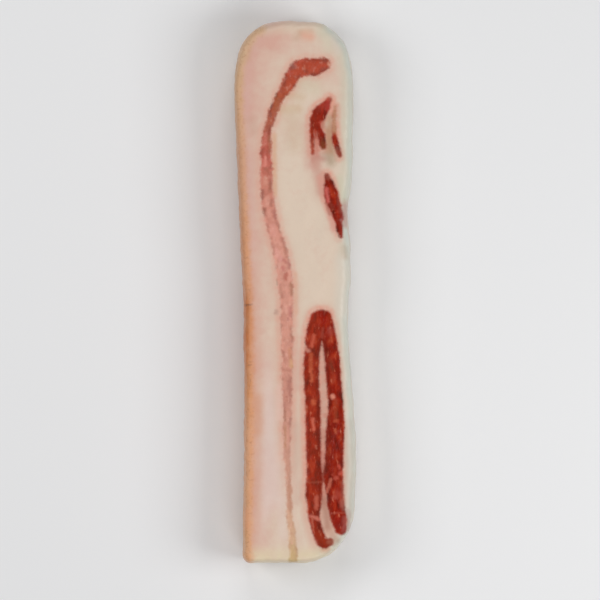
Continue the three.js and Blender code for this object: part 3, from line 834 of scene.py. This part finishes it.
LONG_MUSCLE_MARKS = [
    (12.2, 107.2, 14.6, 106.4, 2.6, 0.6, "#7e3826"), (15.4, 105, 15.9, 104.4, 1.6, 0.75, "#d99c84"),
    (13, 102.2, 14.8, 102.6, 2.4, 0.45, "#94483a"), (8, 100, 9, 99.8, 2, 0.7, "#7a3420"),
    (5, 101.6, 5.8, 101, 1.8, 0.6, "#8a3520"), (-1.6, 104.6, -0.6, 103.4, 2.8, 0.65, "#91594e"),
    (-2.6, 103, -2, 100.4, 2, 0.4, "#b05a50"), (-4.4, 98, -4.8, 95.4, 1.8, 0.5, "#7d3526"),
    (-8.4, 91.4, -8.8, 90, 1.6, 0.7, "#75402c"), (-8, 88.6, -8.6, 84.6, 3, 0.55, "#a65c3a"),
    (-10.8, 86.6, -11, 85, 1.4, 0.7, "#7e5048"), (-11.2, 82, -11.2, 81, 1.5, 0.6, "#8c5044"),
    (4.4, 104, 4.8, 102.4, 1.2, 0.45, "#d07c60"), (-7.6, 92.4, -5, 98, 2.2, 0.45, "#c8735c"),
    (-13.4, 72.6, -13.6, 68, 1.7, 0.6, "#d07a6a"), (-11.4, 71, -11.3, 64, 1.7, 0.55, "#aa6c4e"),
    (-12.4, 66.5, -12.3, 61, 1.4, 0.6, "#ad4f3c"), (-13.4, 61.8, -13.5, 58.2, 1.7, 0.85, "#e08c7e"),
    (-13.4, 56.4, -11.6, 54.6, 2.4, 0.6, "#a8604c"), (-13.5, 52.2, -13.4, 50, 2.2, 0.7, "#db9a86"),
    (-11.3, 49.5, -11.4, 46, 1.8, 0.65, "#a5624c"), (-15, 46.4, -14.8, 43, 1.7, 0.65, "#a06252"),
    (-12.8, 43, -12.6, 40.4, 2.4, 0.7, "#e0a08e"), (-10.7, 42, -10.7, 39.6, 1.6, 0.6, "#a86a58"),
    (-14.2, 38, -14.5, 35.8, 2.2, 0.75, "#98604e"), (-12.2, 36.6, -11.8, 34.6, 2.2, 0.6, "#e0a08e"),
    (-9.8, 37, -8.6, 34, 1.9, 0.6, "#ac6a5e"), (-12.7, 31, -12.1, 28, 1.6, 0.55, "#b07464"),
    (-10, 30, -9.6, 26.6, 2.8, 0.65, "#e3a092"), (-7.1, 30.6, -6.4, 27.6, 1.7, 0.6, "#a86a5a"),
    (-10.6, 22.4, -10.2, 20.6, 1.6, 0.5, "#b47668"), (-8.5, 19.2, -8.2, 16.8, 2.2, 0.75, "#e6a698"),
    (-6.4, 15.8, -6.2, 14.6, 2, 0.65, "#e3a096"), (-4.4, 20.6, -4, 18, 1.8, 0.6, "#b3745f"),
    (-5, 14.6, -4.2, 13.6, 1.8, 0.6, "#b66a60"), (-2.8, 13.2, -2.2, 11.4, 1.9, 0.65, "#ae6a60"),
    (-7.2, 12.6, -6.8, 11.4, 2, 0.65, "#e3aa9a"), (-5.6, 11.2, -5, 10.4, 1.8, 0.6, "#c06a64"),
    (-3.8, 8.2, -4.3, 5.8, 1.7, 0.75, "#b66252"), (-6.7, 1.8, -6.5, -0.4, 1.8, 0.5, "#b07c68"),
    (-1.6, 3.4, -1.2, -0.8, 2.2, 0.65, "#a87258"), (-4.2, -7.4, -3.6, -8.6, 2.8, 0.7, "#e6a896"),
    (-2.3, -7.4, -1.8, -11, 1.9, 0.5, "#c47872"), (-3, -12, -2.9, -13, 1.2, 0.6, "#b06a62"),
    (-6.6, -15.5, -6.2, -21, 1.6, 0.5, "#b38270"), (-1.6, -16, -1.3, -21, 1.6, 0.5, "#b87e68"),
    (-2.2, -26.6, -2, -30, 2, 0.5, "#c68460"), (-1.7, -32, -1.3, -34.4, 2.2, 0.7, "#dbaa7e"),
    (-5.4, -35.6, -2, -36.4, 1.8, 0.45, "#b47462"), (-2.8, -41.6, -1.9, -47.6, 2.2, 0.55, "#a4675a"),
    (-5.7, -41, -5.5, -43.4, 1.6, 0.45, "#b67f6e"), (-6.2, -46, -6, -57, 1.7, 0.8, "#e4b9aa"),
    (-3.6, -48.6, -3.4, -50, 1.4, 0.6, "#b3705e"), (-4.6, -55, -4.5, -59.4, 1.4, 0.6, "#a5705a"),
    (-4.3, -62, -4.4, -72, 1.4, 0.5, "#b3805e"), (-2.6, -62, -2.6, -70, 1.6, 0.4, "#dc9c88"),
    (-2.9, -74, -2.4, -98, 3, 0.4, "#c08a76"), (-2.7, -90, -2.4, -100, 1.8, 0.35, "#b98468"),
    (-0.8, -117, -0.7, -122, 2.6, 0.3, "#c4a670"),
]


def fat_colour(look):
    """Pinkish towards the rind and round the lean, cream further in, pale at the inner side, with a painted
    cool reflection along its upper edge.
    """
    broad, mottle = look.noise(15, 1), look.noise(3.2, 2, detail=3)
    pinkness = look.between(look.rind, 2, 22, 0.8, 0)
    pinkness = look.math("ADD", pinkness, look.math("MULTIPLY_ADD", broad, 0.9, -0.45))
    pinkness = look.math("ADD", pinkness, look.math("MULTIPLY_ADD", mottle, 0.6, -0.3))
    pinkness = look.math("ADD", pinkness, look.between(look.y, 55, 120, 0, 0.35))
    colour = look.mix(look.add("Clamp", {"Value": pinkness}), "#e0cdba", "#d8ab9b")
    salmon = look.product(
        look.between(look.rind, 3, 10, 1, 0), look.between(look.noise(11, 3), 0.3, 0.7, 0.3, 1),
        look.between(look.y, -92, -75, 0.5, 0.8),
    )
    salmon_colour = look.mix(look.between(look.y, -5, 25), "#d8a088", "#d7aca2")
    colour = look.mix(salmon, colour, salmon_colour)
    rosy = look.product(
        look.between(look.y, -15, -60), look.between(look.inner, 28, 38),
        look.between(look.rind, 6.5, 11), 0.6,
    )
    colour = look.mix(rosy, colour, "#e2cbc4")
    colour = by_the_lean(look, colour)
    rim = look.math("MULTIPLY_ADD", broad, -3.0, look.inner)
    colour = at_inner_side(look, colour, rim)
    dried = look.between(look.noise(6, 20), 0.3, 0.6, 0.4, 0.8)
    colour = look.mix(look.product(look.between(look.y, -115, -123), dried), colour, "#e2d3b0")
    clear_of_wall = look.math("MAXIMUM", look.between(look.inner, 1, 3), look.between(look.height, 15, 23))
    return look.mix(clear_of_wall, colour, look.marked(colour, FAT_MARKS))


def by_the_lean(look, colour):
    """The fat's colour with the pink that it has near a muscle, except where the long muscle is thin."""
    thick = look.math("SUBTRACT", 1.0, look.product(look.pale, look.between(look.y, -60, -95, 0, 0.7)))
    near = look.product(look.between(look.depth, -6, -0.5), look.between(look.y, 20, -30, 0.3, 0.8), thick)
    colour = look.mix(near, colour, "#dab6a2")
    halo = look.product(
        look.between(look.depth, -3.3, -0.6), look.between(look.noise(2.2, 4), 0.3, 0.65, 0.45, 1),
        look.between(look.y, -112, -80, 0.3, 1), thick, look.math("MULTIPLY_ADD", look.pale, -0.4, 0.9),
    )
    return look.mix(halo, colour, "#e09f8b")


def at_inner_side(look, colour, rim):
    """The fat's colour with its pale rim, a painted cool reflection along its upper edge, and its patchy
    wall.
    """
    rim_colour = look.mix(look.between(look.y, 20, 60), "#cfc9b8", "#cac9b6")
    colour = look.mix(look.between(rim, 0.5, 7, 0.7, 0), colour, rim_colour)
    wall = look.product(look.between(rim, 0, 4, 1, 0), look.between(look.height, 22, 14), 0.7)
    wall_colour = look.mix(look.between(look.noise(9, 19, detail=3), 0.42, 0.68), "#ddd3c1", "#d9b5a3")
    colour = look.mix(wall, colour, wall_colour)
    # Painted cool reflection: a pale bluish band along the inner side's upper rounded edge stands in for
    # light reflected there
    painted_cool_reflection = look.product(
        look.between(rim, -0.5, 3, 1, 0), look.between(look.height, 17, 25, 0.25, 1),
        look.between(look.noise(16, 18), 0.35, 0.65, 0.5, 1),
    )
    return look.mix(painted_cool_reflection, colour, "#cfd3c8")


def rind_colour(look):
    """Tan and orange, with darker pores, and paler round the rounded end."""
    colour = look.ramp(look.y, [
        (-118, "#dea779"), (-68, "#dda27a"), (-42, "#d28850"), (-28, "#c97438"), (-8, "#ca773e"),
        (6, "#d18d62"), (30, "#ce9169"), (62, "#d29c78"), (90, "#d2a67e"), (112, "#d3b08c"),
    ])
    paler = look.product(look.between(look.rind, 1, 3.2, 0, 0.45), look.between(look.y, 25, 70, 1, 0))
    colour = look.mix(paler, colour, "#e0a071")
    colour = look.mix(look.between(look.noise(7, 5, detail=3), 0.35, 0.7, 0, 0.35), colour, "#e0b190")
    colour = look.mix(look.between(look.noise(1.2, 6, detail=3), 0.5, 0.75, 0, 0.4), colour, "#a5653c")
    return look.mix(look.between(look.height, 17, 25), colour, look.marked(colour, RIND_MARKS))


def dark_lean_colour(look):
    """Deep red, mottled along the muscle and dark at its edges, with thin pale marbling."""
    long = look.noise(3, 7, look.source, (1, 2.2, 4), detail=2)
    colour = look.ramp(long, [
        (0.27, "#581006"), (0.4, "#7f1704"), (0.54, "#971c04"), (0.66, "#ab3418"), (0.78, "#c25a3c"),
    ])
    colour = look.mix(look.between(look.x, 14, 9.5, 0, 0.15), colour, "#b85436")
    marbling = look.noise(1.5, 8, look.source, (1, 2.6, 5), detail=2)
    colour = look.mix(look.between(marbling, 0.6, 0.74, 0, 0.7), colour, "#cf7256")
    from_seam = look.math("ABSOLUTE", look.math("ADD", look.x, -13.3))
    at_seam = look.product(look.between(from_seam, 1.5, 5, 0.4, 0), look.between(look.y, -14, -26))
    colour = look.mix(at_seam, colour, "#741e0c")
    edge = look.product(
        look.between(look.depth, 0.8, 2.6, 1, 0), look.between(look.depth, 0, 1.2),
        look.between(look.noise(3, 9), 0.25, 0.65), 0.45,
    )
    colour = look.mix(edge, colour, "#671f10")
    return look.marked(colour, DARK_LEAN_MARKS)


def pale_lean_colour(look):
    """The long muscle: brick red in its hook, salmon further down and tan at the trimmed end."""
    colour = look.ramp(look.y, [
        (-124, "#cdb07e"), (-116, "#d6b08e"), (-98, "#d4a58c"), (-75, "#d7a18d"), (-50, "#cf917f"),
        (-20, "#da9a87"), (15, "#dd9d8b"), (36, "#d7917f"), (50, "#cc7f6c"), (62, "#c76455"),
        (76, "#b0604a"), (88, "#b35636"), (97, "#b74a2e"), (108, "#b6452b"),
    ])
    spots = look.noise(3.2, 10, look.source, (1, 1.3, 4), detail=1)
    dark = look.product(
        look.between(spots, 0.4, 0.66), look.between(look.depth, 0.4, 2.2, 1, 0.35),
        look.between(look.depth, -0.7, 0.6, 0.3, 1), look.between(look.y, -85, -50, 0.25, 0.6),
    )
    dark_colour = look.mix(look.between(look.y, 10, 75), "#a56a5b", "#842f1c")
    colour = look.mix(dark, colour, dark_colour)
    light = look.noise(2, 11, look.source, (1, 1.5, 4), detail=2)
    light = look.product(
        look.between(light, 0.54, 0.72), look.between(look.depth, 0.6, 1.8),
        look.between(look.y, 62, 82, 0.5, 0.25),
    )
    colour = look.mix(light, colour, "#e3ab98")
    return look.marked(colour, LONG_MUSCLE_MARKS)


SPECULAR = {"fat": 0.45, "lean": 0.14, "pale_lean": 0.35}


def meat(slot, mark):
    """The material of every piece. Fat, lean and rind meet where the place within the slice says."""
    look = Look(slot, mark)
    ragged = look.math("ADD", look.noise(1.3, 12, look.source, (1, 1, 5), detail=3), -0.5)
    ragged = look.product(ragged, look.math("ADD", look.pale, 1.0))
    lean = look.between(look.math("ADD", look.depth, ragged), -0.85, 0.7)
    skin = look.math("ADD", look.rind, look.math("MULTIPLY_ADD", look.noise(3, 13), 2.4, -1.2))
    skin = look.between(skin, 2.2, 6.2, 1, 0)
    outside = look.mix(skin, fat_colour(look), rind_colour(look))
    colour = look.mix(lean, outside, look.mix(look.pale, dark_lean_colour(look), pale_lean_colour(look)))
    rough = look.math("MULTIPLY_ADD", look.noise(4, 14, detail=3), 0.24, 0.3)
    rough = look.math("MULTIPLY_ADD", lean, -0.08, rough)
    grain = look.noise(0.9, 15, detail=3)
    fibres = look.product(look.noise(0.8, 16, look.source, (1, 2, 3), detail=3), lean)
    leather = look.product(look.noise(0.9, 17, detail=4), skin)
    return look.finish(colour, rough, [(grain, 0.12), (fibres, 0.3), (leather, 0.3)], SPECULAR[slot])


PHOTO_SIZE = 600
PHOTO_ORIGIN = (294.65, 291.75)  # the pixel that shows the slice's own origin
MM_PER_PIXEL = 0.4617
CAMERA_DISTANCE = 4000.0


def add_camera():
    """Straight above the slice, framed as the photograph is."""
    data = bpy.data.cameras.new("camera")
    data.sensor_width = 36
    data.lens = data.sensor_width * CAMERA_DISTANCE / (PHOTO_SIZE * MM_PER_PIXEL)
    data.clip_start = 0.01
    camera = new_object("camera", data)
    middle = PHOTO_SIZE / 2
    camera.location = Vector((
        (middle - PHOTO_ORIGIN[0]) * MM_PER_PIXEL, (PHOTO_ORIGIN[1] - middle) * MM_PER_PIXEL,
        CAMERA_DISTANCE + HEIGHT / 2,
    )) * MM
    bpy.context.scene.camera = camera


FLOOR_SIZE = 6000.0
FLOOR_GAP = 0.05  # the floor lies this far under the slice, so that no two faces share a plane
SURROUND_STRENGTH = 0.22
LIGHT_SIZE = 420.0
LIGHTS = [  # each with its place and power
    ("light_right", (600, -150, 560), 2.85), ("light_left", (-600, 100, 600), 2.15),
    ("light_rounded_end", (0, 650, 600), 1.65), ("light_trimmed_end", (100, -650, 600), 1.65),
]


def add_light(name, place, power):
    """A soft light that faces the slice."""
    data = bpy.data.lights.new(name, "AREA")
    data.size = LIGHT_SIZE * MM
    data.energy = power
    data.color = linear("#fffcfa")[:3]
    light = new_object(name, data)
    light.location = Vector(place) * MM
    light.rotation_euler = (-light.location).to_track_quat("-Z", "Y").to_euler()


def add_floor():
    bpy.ops.mesh.primitive_plane_add(size=FLOOR_SIZE * MM, location=(0, 0, -FLOOR_GAP * MM))
    floor = bpy.context.active_object
    floor.name = "floor"
    material, surface = new_material("floor")
    surface.inputs["Base Color"].default_value = linear("#eceef0")
    surface.inputs["Roughness"].default_value = 0.9
    floor.data.materials.append(material)


def add_surround():
    world = bpy.data.worlds.new("surround")
    world.use_nodes = True
    background = world.node_tree.nodes["Background"]
    background.inputs["Color"].default_value = linear("#f2f4f6")
    background.inputs["Strength"].default_value = SURROUND_STRENGTH
    bpy.context.scene.world = world


def add_studio():
    """A plain pale floor, an even pale surrounding and soft lights, the right one the strongest."""
    add_floor()
    add_surround()
    bpy.context.scene.view_settings.view_transform = "Standard"
    for name, place, power in LIGHTS:
        add_light(name, place, power)


def add_slice():
    """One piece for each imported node, which it replaces."""
    whole = Slice()
    slots = {entry["node"]: entry["material_slot"] for entry in frame["record"]["subparts"]}
    mark = mark_group()
    materials = {slot: meat(slot, mark) for slot in sorted(set(slots.values()))}
    for node, slot in slots.items():
        piece = whole.piece(node)
        piece.data.materials.append(materials[slot])
        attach(piece, "root")
        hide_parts(node)


add_slice()
add_camera()
add_studio()
